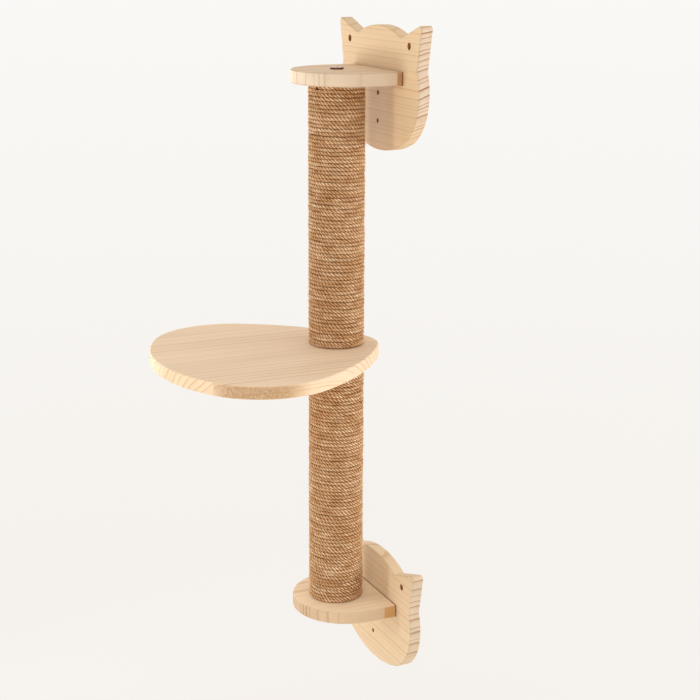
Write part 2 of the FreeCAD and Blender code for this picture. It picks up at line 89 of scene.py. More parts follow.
# Staves of a board: their width, the shift of the first, and how far apart in the tree they grew
ONE_PIECE = (3.0, 1.5, 0.0)
SHELF_STAVES = (0.085, 0.03, 0.12)
PLATFORM_STAVES = (0.09, 0.136, 0.06)
STAVE_RISE = 0.4
SEAM_WIDTH = 0.0005
SEAM_SHARE = 0.35

# Growth rings: how they wander, how uneven they are, and the darkness across one ring
RING_STRETCH = 0.12
RING_SWAY_SCALE = 14.0
RING_SWAY = 0.012
RING_UNEVEN_SCALE = 55.0
RING_UNEVEN = 1.7
LATE_WOOD = ((0.0, 0.0), (0.45, 0.05), (0.76, 0.25), (0.90, 1.0), (0.96, 0.9), (1.0, 0.0))

# Finer marks of the pine: changes in a metre, and the stretch of those that follow the grain
GRAIN_STRETCH = 0.018
GRAIN_SCALE = 900.0
FLECK_STRETCH = 0.05
FLECK_SCALE = 1100.0
BROAD_SCALE = 22.0
PORE_SCALE = 1300.0
PATCH_SCALE = 90.0
SPECK_SCALE = 330.0
END_GRAIN_TURN = 3.0

# Glue where a shelf meets its plate, and a painted shadow of the plate on the shelf's sides beside
# it
GLUE = (0.16, 0.075, 0.025, 1)
GLUE_WIDTH = 0.0024
GLUE_SHARE = 0.9
PAINTED_SHADOW_SHARE = 0.8
BAND_SHARPNESS = 1000.0

# Holes: painted shade on their walls
HOLE_SHADE_DARK = (0.18, 0.05, 0.014, 1)
HOLE_SHADE_PALE = (0.48, 0.20, 0.065, 1)

# Rope: pressed a little into the core, and its strands by angle in degrees and share of the radius
ROPE_RADIUS = 0.0033
ROPE_PRESSED = 0.0007
ROPE_PITCH = 0.0057
ROPE_LAY = 0.0163
RINGS_PER_LAY = 9
STRANDS = 3
STRAND_PROFILE = ((-60, 0.55), (-23, 0.97), (23, 0.97))
ROPE_END_OVERLAP = 0.55
ROPE_END_GAP = 0.0003
ROPE_START_ANGLE = math.radians(-65)

# Unevenness of the rope: an amount, and the changes in one turn
RADIUS_WANDER = (0.0003, 9)
HEIGHT_WANDER = (0.00035, 8)
HEIGHT_RIPPLE = (0.0003, 26)
TWIST_WANDER = (1.6, 6)
SWELL_WANDER = (0.06, 12)
SWELL_RIPPLE = (0.08, 31)
TONE_WANDER = (0.1, 3)
TONE_RIPPLE = (0.3, 15)

# Rope colours, from painted shade in the gaps between the strands and turns to a pale painted
# highlight on their crests
ROPE_TONES = (
    (0.0, (0.29, 0.11, 0.033)),
    (0.3, (0.40, 0.18, 0.066)),
    (0.6, (0.575, 0.34, 0.17)),
    (1.0, (0.90, 0.70, 0.48)),
)

# Loose fibres on the rope, on each section
FIBRES = 4500
FIBRE_LENGTH = 0.008
FIBRE_RADIUS = 0.00009
FIBRE_ROOT_DEPTH = 0.0010
FIBRE_TAPER = 0.8
FIBRE_SIDES = 3
FIBRE_DARK = (0.78, 0.56, 0.33, 1)
FIBRE_PALE = (0.93, 0.79, 0.59, 1)

# Bolts at both ends of the post
BOLT_HEAD_HEIGHT = 0.003
BOLT_HEAD_CORNERS = 72
BOLT_RIM = 0.0010
BOLT_SOCKET_LAND = 0.0038
BOLT_SOCKET_RADIUS = 0.0034
BOLT_SOCKET_FLOOR = 0.0009
BOLT_SHANK_RADIUS = 0.004
BOLT_SHANK_CORNERS = 40
BOLT_EDGE_ROUND = 0.0005
BOLT_EDGE_ANGLE = math.radians(40)
METAL_SMOOTH_ANGLE = math.radians(35)

# Tacks that hold the rope's ends, by angle round the post and height
TACK_HEAD_RADIUS = 0.0021
TACK_DOME = 0.5
TACK_RIM = 0.0003
TACK_SUNK = 0.0004
TACK_SHANK_RADIUS = 0.0006
TACK_LENGTH = 0.009
TACK_POINT_SHARE = 0.2
UPPER_TACK = (math.radians(-67.5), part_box("upper_post_core")[1].z - 0.0059)
LOWER_TACK = (math.radians(40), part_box("lower_post_core")[1].z - 0.072)

# Camera: where it looks, and from where
CAMERA_AZIMUTH = math.radians(65.4)
CAMERA_ELEVATION = math.radians(14.915)
CAMERA_ROLL = math.radians(0.263)
CAMERA_DISTANCE = 2.4188
CAMERA_TARGET = Vector((0.0089, -0.0665, -0.4699))
SENSOR_WIDTH = 36
VIEW_REACH = 200
IMAGE_PIXELS = 700
FOCAL_PIXELS = 1553.0

# Stage
FLOOR_DROP = 0.7
FLOOR_SIZE = 120
FLOOR_GLOW = 0.85
FLOOR_NEAR = 1.2
BACKGROUND_FAR = (0.98, 0.97, 0.953, 1)
# The floor's colour near the object, darker as painted shade.
BACKGROUND_NEAR_SHADE = (0.885, 0.85, 0.811, 1)
SURROUND_COLOUR = (1.0, 0.985, 0.96, 1)
SURROUND_STRENGTH = 0.575
OVERHEAD_SHARE = 1.9

# Lamps: direction from the object, distance, width, height and power
LAMP_COLOUR = (1.0, 0.99, 0.97)
LAMPS = {
    "front_lamp": ((-0.16, -1.0, 0.05), 1.8, 0.16, 0.30, 6.6),
    "left_lamp": ((-0.94, -0.34, 0.02), 1.8, 1.0, 1.0, 12),
    "fill_lamp": ((0.80, -0.58, 0.10), 3.0, 1.6, 1.6, 18),
    "side_lamp": ((0.87, 0.48, 0.03), 3.0, 0.25, 0.5, 5),
    "back_lamp": ((0.42, 0.90, 0.03), 3.0, 0.6, 1.2, 33),
}


# Helpers for pieces
def deselect_all():
    if bpy.context.object and bpy.context.object.mode != "OBJECT":
        bpy.ops.object.mode_set(mode="OBJECT")
    bpy.ops.object.select_all(action="DESELECT")


def make_active(piece):
    deselect_all()
    piece.select_set(True)
    bpy.context.view_layer.objects.active = piece


def link_piece(name, mesh):
    piece = bpy.data.objects.new(name, mesh)
    bpy.context.scene.collection.objects.link(piece)
    make_active(piece)
    return piece


def new_mesh(name, points, faces):
    mesh = bpy.data.meshes.new(name)
    mesh.from_pydata(points.tolist(), [], faces)
    mesh.update()
    return mesh


# A piece with all its faces turned outward, shaded smooth
def smooth_piece(name, mesh):
    piece = link_piece(name, mesh)
    bpy.ops.object.mode_set(mode="EDIT")
    bpy.ops.mesh.select_all(action="SELECT")
    bpy.ops.mesh.normals_make_consistent(inside=False)
    bpy.ops.object.mode_set(mode="OBJECT")
    bpy.ops.object.shade_smooth()
    return piece


def apply_modifier(piece, kind, **settings):
    modifier = piece.modifiers.new(kind.title(), kind)
    for name, value in settings.items():
        setattr(modifier, name, value)
    make_active(piece)
    bpy.ops.object.modifier_apply(modifier=modifier.name)


def cover(piece, material):
    piece.data.materials.clear()
    piece.data.materials.append(material)


def dress(piece, material, body, slot, *replaced):
    cover(piece, material)
    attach(piece, body)
    if replaced:
        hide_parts(*replaced)


# Helpers for materials
def add_node(tree, kind, **settings):
    node = tree.nodes.new(kind)
    for name, value in settings.items():
        setattr(node, name, value)
    return node


def set_socket(tree, socket, value):
    if isinstance(value, bpy.types.NodeSocket):
        tree.links.new(value, socket)
    else:
        socket.default_value = value


def math_node(tree, operation, *values, clamp=False):
    node = add_node(tree, "ShaderNodeMath", operation=operation, use_clamp=clamp)
    for socket, value in zip(node.inputs, values):
        set_socket(tree, socket, value)
    return node.outputs[0]


def vector_node(tree, operation, *values):
    node = add_node(tree, "ShaderNodeVectorMath", operation=operation)
    for socket, value in zip(node.inputs, values):
        set_socket(tree, socket, value)
    return node.outputs["Value" if operation in ("LENGTH", "DISTANCE") else "Vector"]


# A value with an amount of a noise added, and what that adds on average taken off
def vary(tree, value, chance, amount, taken_off):
    lowered = math_node(tree, "SUBTRACT", value, taken_off)
    return math_node(tree, "MULTIPLY_ADD", chance, amount, lowered)


def mix_colour(tree, factor, first, second, blend="MIX"):
    node = add_node(tree, "ShaderNodeMix", data_type="RGBA", blend_type=blend)
    set_socket(tree, node.inputs["Factor"], factor)
    set_socket(tree, node.inputs["A"], first)
    set_socket(tree, node.inputs["B"], second)
    return node.outputs["Result"]


def mix_shaders(tree, factor, first, second, end):
    node = add_node(tree, "ShaderNodeMixShader")
    for socket, value in zip(node.inputs, (factor, first.outputs[0], second.outputs[0])):
        tree.links.new(value, socket)
    tree.links.new(node.outputs[0], end.inputs["Surface"])


def combine(tree, x, y, z):
    node = add_node(tree, "ShaderNodeCombineXYZ")
    for socket, value in zip(node.inputs, (x, y, z)):
        set_socket(tree, socket, value)
    return node.outputs[0]


def separate(tree, vector):
    node = add_node(tree, "ShaderNodeSeparateXYZ")
    tree.links.new(vector, node.inputs[0])
    return node.outputs


def noise(tree, vector, scale, detail=2.0, roughness=0.5, output="Fac"):
    node = add_node(tree, "ShaderNodeTexNoise")
    tree.links.new(vector, node.inputs["Vector"])
    node.inputs["Scale"].default_value = scale
    node.inputs["Detail"].default_value = detail
    node.inputs["Roughness"].default_value = roughness
    return node.outputs[output]


def white_noise(tree, value):
    node = add_node(tree, "ShaderNodeTexWhiteNoise", noise_dimensions="1D")
    set_socket(tree, node.inputs["W"], value)
    return node.outputs


def ramp(tree, value, stops):
    node = add_node(tree, "ShaderNodeValToRGB")
    points = node.color_ramp.elements
    while len(points) < len(stops):
        points.new(0.5)
    for point, (position, colour) in zip(points, stops):
        point.position = position
        point.color = (*colour, 1) if isinstance(colour, tuple) else (colour, colour, colour, 1)
    tree.links.new(value, node.inputs["Fac"])
    return node.outputs["Color"]


def new_group(name, inputs, outputs):
    group = bpy.data.node_groups.new(name, "ShaderNodeTree")
    for way, sockets in (("INPUT", inputs), ("OUTPUT", outputs)):
        for socket_name, kind in sockets.items():
            group.interface.new_socket(socket_name, in_out=way, socket_type=f"NodeSocket{kind}")
    start = group.nodes.new("NodeGroupInput")
    end = group.nodes.new("NodeGroupOutput")
    return group, start.outputs, end.inputs


def place_group(tree, group, **values):
    node = add_node(tree, "ShaderNodeGroup", node_tree=group)
    for name, value in values.items():
        set_socket(tree, node.inputs[name.replace("_", " ").title()], value)
    return node.outputs


def new_material(name):
    material = bpy.data.materials.new(name)
    material.use_nodes = True
    tree = material.node_tree
    return material, tree, tree.nodes["Principled BSDF"].inputs


def object_place(tree):
    return add_node(tree, "ShaderNodeTexCoord").outputs["Object"]


def bump(tree, height, distance, strength):
    node = add_node(tree, "ShaderNodeBump")
    node.inputs["Strength"].default_value = strength
    node.inputs["Distance"].default_value = distance
    tree.links.new(height, node.inputs["Height"])
    return node.outputs["Normal"]


def dry_finish(surface, roughness, gloss):
    surface["Roughness"].default_value = roughness
    surface["Specular IOR Level"].default_value = gloss


# Glued staves: each strip of a board is cut from another place in the tree
def stave_group():
    group, given, out = new_group(
        "glued_staves",
        {
            "Vector": "Vector",
            "Width": "Float",
            "Shift": "Float",
            "Spread": "Float",
            "Seed": "Float",
        },
        {"Vector": "Vector", "Tone": "Float", "Seam": "Float"},
    )
    calc = partial(math_node, group)
    along, across, through = separate(group, given["Vector"])
    strip = calc("DIVIDE", calc("ADD", across, given["Shift"]), given["Width"])
    chance = white_noise(group, calc("ADD", calc("FLOOR", strip), given["Seed"]))
    first, second, third = separate(group, chance["Color"])
    aside = calc("MULTIPLY", calc("SUBTRACT", second, 0.5), given["Spread"])
    rise = calc("MULTIPLY", calc("SUBTRACT", third, 0.5), given["Spread"])
    new_along = calc("ADD", along, first)
    new_across = calc("ADD", across, aside)
    new_through = calc("MULTIPLY_ADD", rise, STAVE_RISE, through)
    set_socket(group, out["Vector"], combine(group, new_along, new_across, new_through))
    set_socket(group, out["Tone"], chance["Value"])
    place = calc("FRACT", strip)
    edge = calc("MINIMUM", place, calc("SUBTRACT", 1.0, place))
    distance = calc("MULTIPLY", edge, given["Width"])
    seam = calc("SUBTRACT", 1.0, calc("DIVIDE", distance, SEAM_WIDTH), clamp=True)
    set_socket(group, out["Seam"], seam)
    return group


# Pine: growth rings round a pith that runs along X, fine grain, pores and resin flecks
def pine_group():
    group, given, out = new_group(
        "pine_grain",
        {
            "Vector": "Vector",
            "Ring Width": "Float",
            "Ring Contrast": "Float",
            "End Grain": "Float",
            "Arris": "Float",
            "Heart": "Float",
            "Pale": "Color",
            "Dark": "Color",
            "End Pale": "Color",
            "End Dark": "Color",
            "Tone": "Float",
        },
        {"Color": "Color", "Height": "Float", "Roughness": "Float"},
    )
    calc = partial(math_node, group)
    along, across, through = separate(group, given["Vector"])

    def drawn_out(stretch):
        return combine(group, calc("MULTIPLY", along, stretch), across, through)

    stretched = drawn_out(RING_STRETCH)
    sway = separate(group, noise(group, stretched, RING_SWAY_SCALE, output="Color"))
    wavy_across = calc("MULTIPLY_ADD", sway["Y"], RING_SWAY, across)
    wavy_through = calc("MULTIPLY_ADD", sway["Z"], RING_SWAY, through)
    square = calc("MULTIPLY", wavy_across, wavy_across)
    square = calc("MULTIPLY_ADD", wavy_through, wavy_through, square)
    reach = calc("SQRT", square)
    uneven = add_node(group, "ShaderNodeTexNoise", noise_dimensions="1D")
    set_socket(group, uneven.inputs["W"], reach)
    uneven.inputs["Scale"].default_value = RING_UNEVEN_SCALE
    uneven.inputs["Detail"].default_value = 1.0
    rings = calc("DIVIDE", reach, given["Ring Width"])
    rings = calc("MULTIPLY_ADD", uneven.outputs["Fac"], RING_UNEVEN, rings)
    late = ramp(group, calc("FRACT", rings), LATE_WOOD)
    chance = white_noise(group, calc("FLOOR", rings))
    vigour = calc("MULTIPLY_ADD", chance["Value"], 0.7, 0.3)
    steady = calc("MULTIPLY", late, calc("MULTIPLY_ADD", vigour, 0.5, 0.5))
    late = calc("MULTIPLY", late, vigour)

    grain = noise(group, drawn_out(GRAIN_STRETCH), GRAIN_SCALE, 3.0, 0.65)
    flecks = noise(group, drawn_out(FLECK_STRETCH), FLECK_SCALE, 1.0)
    flecks = calc("MULTIPLY_ADD", flecks, 9.0, -6.2, clamp=True)
    broad = noise(group, stretched, BROAD_SCALE)
    pores = noise(group, given["Vector"], PORE_SCALE, 2.0, 0.7)
    patches = noise(group, given["Vector"], PATCH_SCALE)
    specks = noise(group, given["Vector"], SPECK_SCALE, 3.0, 0.75)
    specks = calc("MULTIPLY_ADD", specks, 1.9, -0.13, clamp=True)

    depth = calc("MULTIPLY", late, given["Ring Contrast"])
    depth = calc("MULTIPLY_ADD", flecks, 0.10, depth)
    face = mix_colour(group, depth, given["Pale"], given["Dark"])
    end_depth = calc("MULTIPLY", calc("POWER", steady, 1.1), 1.3, clamp=True)
    end_depth = vary(group, end_depth, pores, 0.5, 0.22)
    end_depth = vary(group, end_depth, patches, 0.3, 0.13)
    end_depth = calc("MAXIMUM", calc("MINIMUM", end_depth, 1.0), 0.0)
    end = mix_colour(group, end_depth, given["End Pale"], given["End Dark"])
    tint = mix_colour(group, given["End Grain"], face, end)
    in_heart = calc("MULTIPLY", given["Heart"], specks)
    tint = mix_colour(group, in_heart, tint, HEARTWOOD)
    light = calc("MULTIPLY_ADD", grain, 0.16, 0.92)
    light = vary(group, light, broad, 0.24, 0.12)
    light = vary(group, light, given["Tone"], 0.06, 0.03)
    light = calc("SUBTRACT", light, given["Arris"])
    shade = combine(group, light, light, light)
    set_socket(group, out["Color"], mix_colour(group, 1.0, tint, shade, "MULTIPLY"))
    set_socket(group, out["Height"], calc("MULTIPLY_ADD", late, -0.5, grain))
    rough = calc("MULTIPLY_ADD", grain, 0.12, 0.52)
    set_socket(group, out["Roughness"], calc("MULTIPLY_ADD", late, -0.06, rough))
    return group


GLUED_STAVES = stave_group()
PINE_GRAIN = pine_group()


# A soft patch where heartwood comes to the surface, cut off at a seam
def heart_patch(tree, place, middle, reach, seam_x):
    offset = vector_node(tree, "SUBTRACT", place, middle)
    distance = vector_node(tree, "LENGTH", vector_node(tree, "DIVIDE", offset, reach))
    patch = math_node(tree, "MULTIPLY_ADD", distance, -2.0, 2.2, clamp=True)
    beyond_seam = math_node(tree, "GREATER_THAN", separate(tree, place)["X"], seam_x)
    return math_node(tree, "MULTIPLY", patch, beyond_seam)


# A band of a given width where a board is glued to another at a plane y
def joint_band(tree, place, joint_y, width):
    distance = math_node(tree, "SUBTRACT", joint_y, separate(tree, place)["Y"])
    inside = math_node(tree, "SUBTRACT", width, distance)
    return math_node(tree, "MULTIPLY", inside, BAND_SHARPNESS, clamp=True)


# One board's wood: the way of its grain and of its thickness, where its pith lies, its staves and
# tones, and where asked for painted side shading, a patch of heartwood, and a glue line with
# painted shadow
def pine(name, grain_along, thick_along, pith, staves, seed, contrast=0.45, ring_width=0.008,
         pale=PINE_PALE, dark=PINE_DARK, end_pale=END_PALE, end_dark=END_DARK, arris=0.12,
         painted_side_shading=None, heart=None, joint=None):
    material, tree, surface = new_material(name)
    calc = partial(math_node, tree)
    texture_place = add_node(tree, "ShaderNodeTexCoord").outputs
    place = texture_place["Object"]
    mapping = add_node(tree, "ShaderNodeMapping")
    turn = math.radians(-90) if grain_along == "Y" else 0
    mapping.inputs["Rotation"].default_value = (0, 0, turn)
    tree.links.new(place, mapping.inputs["Vector"])
    stave_width, stave_shift, stave_spread = staves
    strips = place_group(
        tree, GLUED_STAVES, vector=mapping.outputs[0], width=stave_width, shift=stave_shift,
        spread=stave_spread, seed=seed,
    )
    from_pith = vector_node(tree, "SUBTRACT", strips["Vector"], pith)
    facing = separate(tree, texture_place["Normal"])
    end_grain = calc("POWER", calc("ABSOLUTE", facing[grain_along]), END_GRAIN_TURN)
    flat = calc("MULTIPLY", facing[thick_along], facing[thick_along])
    on_edge = calc("SUBTRACT", 1.0, flat)
    # The arrises are darker by the arris amount, and paler where it is negative.
    arris_tone = calc("MULTIPLY", calc("MULTIPLY", flat, on_edge), 4 * arris)
    in_heart = calc("MULTIPLY", heart_patch(tree, place, *heart), on_edge) if heart else 0.0
    grain = place_group(
        tree, PINE_GRAIN, vector=from_pith, ring_width=ring_width, ring_contrast=contrast,
        end_grain=end_grain, arris=arris_tone, heart=in_heart, pale=pale, dark=dark,
        end_pale=end_pale, end_dark=end_dark, tone=strips["Tone"],
    )
    seam = calc("MULTIPLY", strips["Seam"], SEAM_SHARE)
    colour = mix_colour(tree, seam, grain["Color"], PINE_DARK)
    # Painted light and shade: the side faces tinted darker, or lighter and cooler, than the top.
    if painted_side_shading:
        colour = mix_colour(tree, on_edge, colour, painted_side_shading, "MULTIPLY")
    if joint:
        joint_y, shadow_width, shadow_colour = joint
        # A painted shadow of the plate darkens the shelf's side faces near the joint; the glue
        # line is the joint's own dark glue.
        painted_shadow = calc("MULTIPLY", joint_band(tree, place, joint_y, shadow_width), on_edge)
        painted_shadow = calc("MULTIPLY", painted_shadow, PAINTED_SHADOW_SHARE)
        colour = mix_colour(tree, painted_shadow, colour, shadow_colour, "MULTIPLY")
        glue = calc("MULTIPLY", joint_band(tree, place, joint_y, GLUE_WIDTH), GLUE_SHARE)
        colour = mix_colour(tree, glue, colour, GLUE)
    tree.links.new(colour, surface["Base Color"])
    tree.links.new(grain["Roughness"], surface["Roughness"])
    tree.links.new(bump(tree, grain["Height"], 0.0002, 0.5), surface["Normal"])
    surface["Specular IOR Level"].default_value = PINE_GLOSS
    return material


# Holes: walls painted dark, as painted shade in the recess, with a fine noise
def hole_shade_material():
    material, tree, surface = new_material("hole_wall_painted_shade")
    marks = noise(tree, object_place(tree), 700.0, 3.0, 0.6)
    tree.links.new(mix_colour(tree, marks, HOLE_SHADE_DARK, HOLE_SHADE_PALE), surface["Base Color"])
    tree.links.new(bump(tree, marks, 0.0003, 0.6), surface["Normal"])
    dry_finish(surface, 0.8, PINE_GLOSS)
    return material


# Rope: coarse fibres along the strands, with painted shade where the strands and turns meet and a
# painted highlight on the crests
def rope_material():
    material, tree, surface = new_material("laid_rope")
    calc = partial(math_node, tree)
    strand = separate(tree, add_node(tree, "ShaderNodeUVMap", uv_map="strand").outputs[0])
    painted_strand_shading = add_node(tree, "ShaderNodeAttribute", attribute_name="painted_strand_shading").outputs["Fac"]
    tone = add_node(tree, "ShaderNodeAttribute", attribute_name="tone").outputs["Fac"]

    def strand_noise(along, around, layer, detail, roughness):
        length = calc("MULTIPLY", strand["X"], along)
        girth = calc("MULTIPLY", strand["Y"], around)
        return noise(tree, combine(tree, length, girth, layer), 1.0, detail, roughness)

    fibre = strand_noise(110.0, 36.0, 0.0, 4.0, 0.75)
    patches = strand_noise(60.0, 5.0, 7.0, 2.0, 0.5)
    # Random fibre tone together with the painted strand shading, which darkens the gaps and
    # lightens the crests.
    fibre_tone_and_painted_shade = calc("MULTIPLY_ADD", painted_strand_shading, 0.7, -1.08)
    fibre_tone_and_painted_shade = calc("MULTIPLY_ADD", patches, 0.9, fibre_tone_and_painted_shade)
    fibre_tone_and_painted_shade = calc("MULTIPLY_ADD", tone, 0.4, fibre_tone_and_painted_shade)
    fibre_tone_and_painted_shade = calc("MULTIPLY_ADD", fibre, 0.9, fibre_tone_and_painted_shade, clamp=True)
    tree.links.new(ramp(tree, fibre_tone_and_painted_shade, ROPE_TONES), surface["Base Color"])
    tree.links.new(bump(tree, fibre, 0.0006, 0.8), surface["Normal"])
    dry_finish(surface, 0.95, 0.0)
    return material


# Loose fibres: pale and dry
def fibre_material():
    material, tree, surface = new_material("loose_fibres")
    cloud = noise(tree, object_place(tree), 160.0)
    tree.links.new(mix_colour(tree, cloud, FIBRE_DARK, FIBRE_PALE), surface["Base Color"])
    dry_finish(surface, 0.75, 0.1)
    return material


# Metal: zinc plate or steel with fine turning marks, duller in clouds
def metal_material(name, colour, roughness):
    material, tree, surface = new_material(name)
    place = object_place(tree)
    marks = noise(tree, place, 900.0, 3.0, 0.6)
    cloud = noise(tree, place, 120.0)
    dull = tuple(0.7 * part for part in colour[:3]) + (1,)
    tree.links.new(mix_colour(tree, cloud, dull, colour), surface["Base Color"])
    rough = math_node(tree, "MULTIPLY_ADD", cloud, 0.2, roughness - 0.1)
    tree.links.new(rough, surface["Roughness"])
    tree.links.new(bump(tree, marks, 0.00005, 0.4), surface["Normal"])
    surface["Metallic"].default_value = 1.0
    return material


# Boards: the frame's solids with their edges eased
def board(name, node, body, material):
    piece = link_piece(name, nodes[node].data.copy())
    bpy.ops.object.mode_set(mode="EDIT")
    bpy.ops.mesh.select_mode(type="EDGE")
    bpy.ops.mesh.select_all(action="SELECT")
    bpy.ops.mesh.customdata_custom_splitnormals_clear()
    bpy.ops.mesh.remove_doubles(threshold=SAME_POINT)
    bpy.ops.mesh.dissolve_limited(angle_limit=FLAT_ANGLE)
    bpy.ops.mesh.select_all(action="DESELECT")
    bpy.ops.mesh.edges_select_sharp(sharpness=SHARP_ANGLE)
    bpy.ops.mesh.bevel(offset=CORNER_ROUND, segments=2, affect="EDGES", clamp_overlap=True)
    bpy.ops.object.mode_set(mode="OBJECT")
    bpy.ops.object.shade_smooth_by_angle(angle=BOARD_SMOOTH_ANGLE)
    apply_modifier(piece, "WEIGHTED_NORMAL", keep_sharp=True)
    dress(piece, material, body, "pine_board", node)
    return piece


# Centres and radii of the plates' holes, from the mounts in the record
def hole_places():
    places = []
    for mount in frame["record"]["mounts"]:
        if mount["kind"] == "bolt_pattern":
            x, _, z = mount["pos_m"]
            sizes = mount["dims"]
            half_x = sizes.get("spacing_x_mm", 0.0) / 2000
            half_z = sizes.get("spacing_y_mm", 0.0) / 2000
            radius = sizes["hole_r_mm"] / 1000
            for side in (-1, 1):
                places.append((x + side * half_x, z + side * half_z, radius))
    return places


# The walls of the holes get the painted shade material.
def paint_hole_shade(piece, material):
    holes = hole_places()
    piece.data.materials.append(material)
    for face in piece.data.polygons:
        if abs(face.normal.y) < PLATE_FACE_NORMAL:
            for x, z, radius in holes:
                if math.hypot(face.center.x - x, face.center.z - z) < radius + CORNER_ROUND:
                    face.material_index = 1


def boards():
    painted_hole_shade = hole_shade_material()
    plates = (
        ("upper_plate_board", "upper_wall_plate", {
            "pith": (0, 0.075, -0.34), "seed": 1.0, "ring_width": 0.008,
            "pale": (0.72, 0.52, 0.315, 1), "end_pale": (0.70, 0.555, 0.42, 1),
        }),
        ("lower_plate_board", "lower_wall_plate", {
            "pith": (0, 0.03, -1.22), "seed": 2.0, "ring_width": 0.011,
            "pale": (0.71, 0.54, 0.355, 1), "end_pale": (0.60, 0.475, 0.35, 1),
            "end_dark": (0.38, 0.22, 0.12, 1),
        }),
    )
    for name, node, look in plates:
        material = pine(f"pine_{name}", "X", "Y", staves=ONE_PIECE, contrast=0.6, **look)
        paint_hole_shade(board(name, node, "frame", material), painted_hole_shade)
    # Each shelf: its name, its node, the width and colour of the painted shadow of its plate on
    # its sides, and its looks, whose side tint is painted light and shade.
    shelves = (
        ("upper_shelf_board", "upper_shelf", 0.010, (0.62, 0.33, 0.12, 1), {
            "pith": (0, 0.26, -0.06), "seed": 5.0, "pale": (0.68, 0.50, 0.335, 1),
            "end_dark": (0.60, 0.42, 0.25, 1), "painted_side_shading": (0.975, 1.03, 1.10, 1),
        }),
        ("lower_shelf_board", "lower_shelf", 0.021, (0.86, 0.60, 0.26, 1), {
            "pith": (0, 0.26, -0.90), "seed": 6.0, "pale": (0.82, 0.65, 0.455, 1),
            "end_dark": (0.48, 0.28, 0.13, 1), "painted_side_shading": (0.755, 0.69, 0.635, 1),
        }),
    )
    for name, node, shadow_width, shadow_colour, look in shelves:
        material = pine(
            f"pine_{name}", "Y", "Z", staves=SHELF_STAVES, ring_width=0.013,
            end_pale=(0.82, 0.64, 0.45, 1), joint=(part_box(node)[1].y, shadow_width, shadow_colour),
            **look,
        )
        board(name, node, "frame", material)
    material = pine(
        "pine_platform", "Y", "Z", (0, -0.20, -0.58), PLATFORM_STAVES, 4.0, contrast=0.65,
        ring_width=0.010, arris=-0.04, end_pale=(0.86, 0.67, 0.46, 1),
        end_dark=(0.66, 0.45, 0.25, 1),
        heart=((0.17, -0.282, -0.468), (0.07, 0.070, 0.05), PLATFORM_STAVES[1]),
    )
    board("platform_top_board", "platform_board", "platform", material)


# Rope: one three-strand rope wound down each post section
def smooth_chance(rng, count, knots):
    values = rng.uniform(-1, 1, knots + 3)
    place = np.linspace(0, knots, count)
    step = np.minimum(place.astype(int), knots - 1)
    part = place - step
    ease = part * part * (3 - 2 * part)
    return values[step] * (1 - ease) + values[step + 1] * ease


def set_point_values(mesh, name, values):
    layer = mesh.attributes.new(name, "FLOAT", "POINT")
    layer.data.foreach_set("value", values.ravel().astype(np.float32))


# The rope's length and girth as a map, so that its fibres follow the strands
def map_strands(mesh, along, corners):
    v_low = np.tile(np.arange(corners) / corners, len(along) - 1)
    v_high = v_low + 1 / corners
    u_low = np.repeat(along[:-1], corners)
    u_high = np.repeat(along[1:], corners)
    loops = np.stack(
        [u_low, v_low, u_low, v_high, u_high, v_high, u_high, v_low], axis=-1
    ).ravel()
    caps = np.zeros(2 * 2 * corners)
    layer = mesh.uv_layers.new(name="strand")
    layer.data.foreach_set("uv", np.concatenate([loops, caps]).astype(np.float32))


def wound_rope(name, node, core, seed, material):
    low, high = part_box(core)
    rng = np.random.default_rng(seed)
    path_radius = core_radius + ROPE_RADIUS - ROPE_PRESSED
    start_z = high.z - ROPE_RADIUS - ROPE_END_GAP
    end_z = low.z + ROPE_RADIUS + ROPE_END_GAP
    turns = (start_z - end_z) / ROPE_PITCH + 2 * ROPE_END_OVERLAP
    length = turns * math.hypot(2 * math.pi * path_radius, ROPE_PITCH)
    rings = int(length / ROPE_LAY * RINGS_PER_LAY)
    along = np.linspace(0, length, rings)
    turn = along / length * turns - ROPE_END_OVERLAP

    def uneven(amount_and_changes):
        amount, changes = amount_and_changes
        return amount * smooth_chance(rng, rings, int(turns * changes))

    angle = ROPE_START_ANGLE + 2 * math.pi * turn
    radius = path_radius + uneven(RADIUS_WANDER)
    height = start_z - ROPE_PITCH * turn + uneven(HEIGHT_WANDER) + uneven(HEIGHT_RIPPLE)
    height = np.clip(height, end_z, start_z)
    twist = 2 * math.pi * along / ROPE_LAY + uneven(TWIST_WANDER)
    swell = 1 + uneven(SWELL_WANDER) + uneven(SWELL_RIPPLE)

    profile = [
        (math.radians(360 / STRANDS * strand + degrees), share)
        for strand in range(STRANDS)
        for degrees, share in STRAND_PROFILE
    ]
    corner_angle, corner_share = np.array(profile).T
    corners = len(profile)
    spin = corner_angle[None, :] - twist[:, None]
    reach = ROPE_RADIUS * corner_share[None, :] * swell[:, None]
    out = radius[:, None] + reach * np.cos(spin)
    up = height[:, None] + reach * np.sin(spin)
    out_x = post_x + out * np.cos(angle)[:, None]
    out_y = post_y + out * np.sin(angle)[:, None]
    points = np.stack([out_x, out_y, up], axis=-1).reshape(-1, 3)

    ring_start = np.arange(rings - 1)[:, None] * corners
    corner = np.arange(corners)[None, :]
    first = ring_start + corner
    second = ring_start + (corner + 1) % corners
    quads = np.stack([first, second, second + corners, first + corners], axis=-1)
    faces = quads.reshape(-1, 4).tolist()
    faces.append(list(range(corners - 1, -1, -1)))
    faces.append(list(range((rings - 1) * corners, rings * corners)))
    mesh = new_mesh(name, points, faces)

    # Painted shade and painted highlight: dark in the valleys between the strands and where the
    # turns meet, pale on the outward crests.
    lobes = (corner_share - corner_share.min()) / (corner_share.max() - corner_share.min())
    outward = np.clip((np.cos(spin) + 0.1) / 0.8, 0, 1)
    set_point_values(mesh, "painted_strand_shading", lobes[None, :] * outward)
    shade = 0.5 + uneven(TONE_WANDER) + uneven(TONE_RIPPLE)
    set_point_values(mesh, "tone", np.repeat(shade, corners))
    map_strands(mesh, along, corners)
    dress(smooth_piece(name, mesh), material, "frame", "sisal_rope", node)


